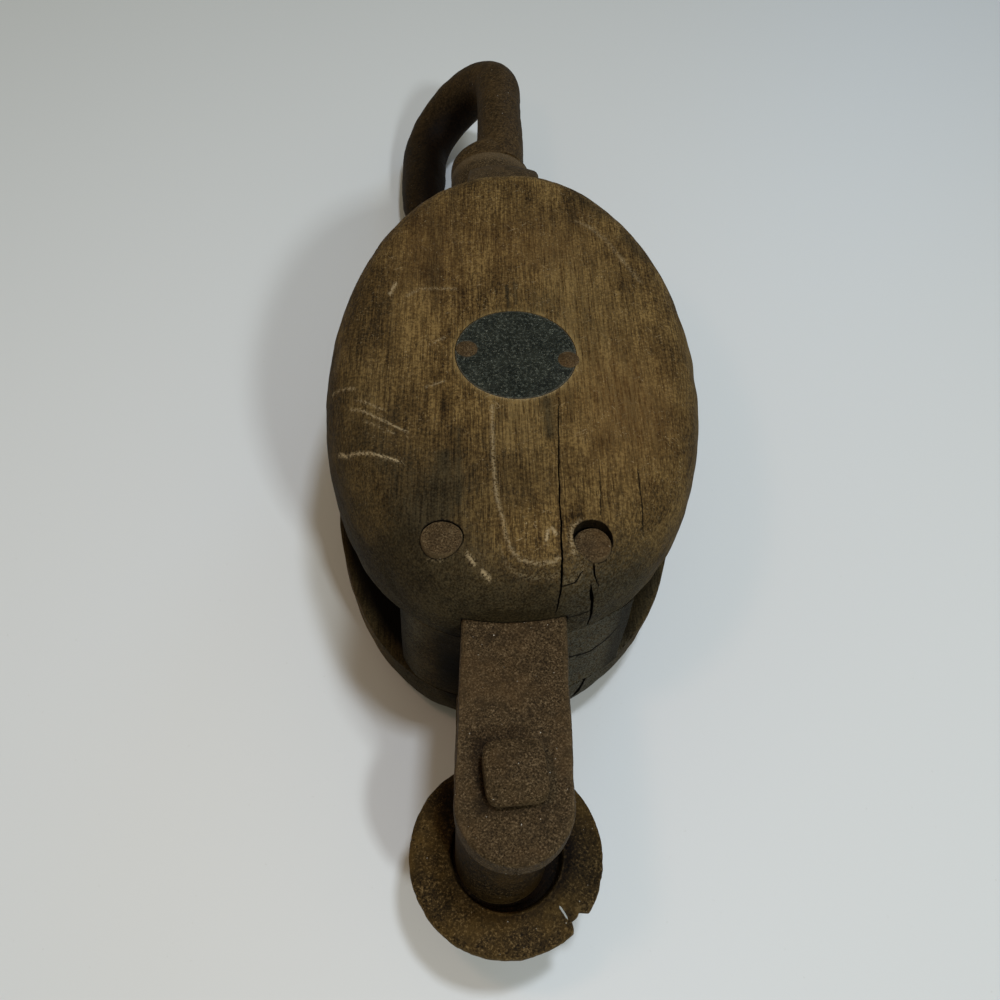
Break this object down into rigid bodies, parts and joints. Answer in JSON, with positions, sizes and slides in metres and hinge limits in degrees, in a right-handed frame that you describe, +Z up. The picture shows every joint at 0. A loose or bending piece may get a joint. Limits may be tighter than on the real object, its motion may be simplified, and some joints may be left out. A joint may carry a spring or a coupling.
{
  "type": "tackle block",
  "caption": "Old wooden single block with an inner iron strap, a swivel hook and a becket bolt with a loose thimble, for a rope of about 25 mm.",
  "frame": {"origin": "on the table under the axis of the sheave pin, in the flat of the lower cheek on which the block lies", "axes": "+Y along the strap from the sheave pin to the hook, +Z up along the sheave pin, +X to the right when the becket is nearest"},
  "size_m": [0.1296, 0.4434, 0.0984],
  "materials": {
    "shell_wood": "old oiled wood, cracked along the grain and worn pale on its broad face",
    "sheave_wood": "dense dark hardwood, greased",
    "strap_iron": "wrought iron with even brown rust",
    "hook_iron": "wrought iron with dark brown rust, orange inside the bowl",
    "thimble_iron": "thin iron with scaly yellow-brown rust",
    "fastening_iron": "hammered iron with brown rust",
    "plate_iron": "dark grey iron, worn smooth",
    "pin_steel": "turned steel, polished by the bush",
    "bush_bronze": "worn bronze"
  },
  "bodies": {
    "block": {"upper_cheek": "shell_wood", "lower_cheek": "shell_wood", "hook_end_block": "shell_wood", "becket_end_block": "shell_wood", "hook_end_dowels": "shell_wood", "shell_rivets": "fastening_iron", "rivet_washers": "fastening_iron", "inner_strap": "strap_iron", "sheave_pin": "pin_steel", "upper_pin_plate": "plate_iron", "lower_pin_plate": "plate_iron", "upper_plate_nails": "fastening_iron", "lower_plate_nails": "fastening_iron", "becket_bolt": "strap_iron", "becket_nut": "strap_iron"},
    "sheave": {"sheave": "sheave_wood", "sheave_bush": "bush_bronze", "upper_bush_plate": "bush_bronze", "lower_bush_plate": "bush_bronze", "bush_rivets": "bush_bronze"},
    "hook": {"hook": "hook_iron", "hook_washer": "hook_iron"},
    "barrel": {"becket_barrel": "thimble_iron"},
    "flange": {"thimble_flange": "thimble_iron"}
  },
  "joints": [
    {"name": "sheave_spin", "type": "hinge", "parent": "block", "child": "sheave", "pos_m": [0, 0, 0.04875], "axis": [0, 0, 1], "continuous": true},
    {"name": "hook_swivel", "type": "hinge", "parent": "block", "child": "hook", "pos_m": [-0.002, 0.162, 0.04875], "axis": [0, 1, 0], "continuous": true},
    {"name": "barrel_spin", "type": "hinge", "parent": "block", "child": "barrel", "pos_m": [-0.00184, -0.14283, 0.078], "axis": [0, 0.0785, 0.9969], "continuous": true},
    {"name": "flange_spin", "type": "hinge", "parent": "block", "child": "flange", "pos_m": [-0.00014, -0.14528, 0.0298], "axis": [0, 0, 1], "continuous": true}
  ]
}
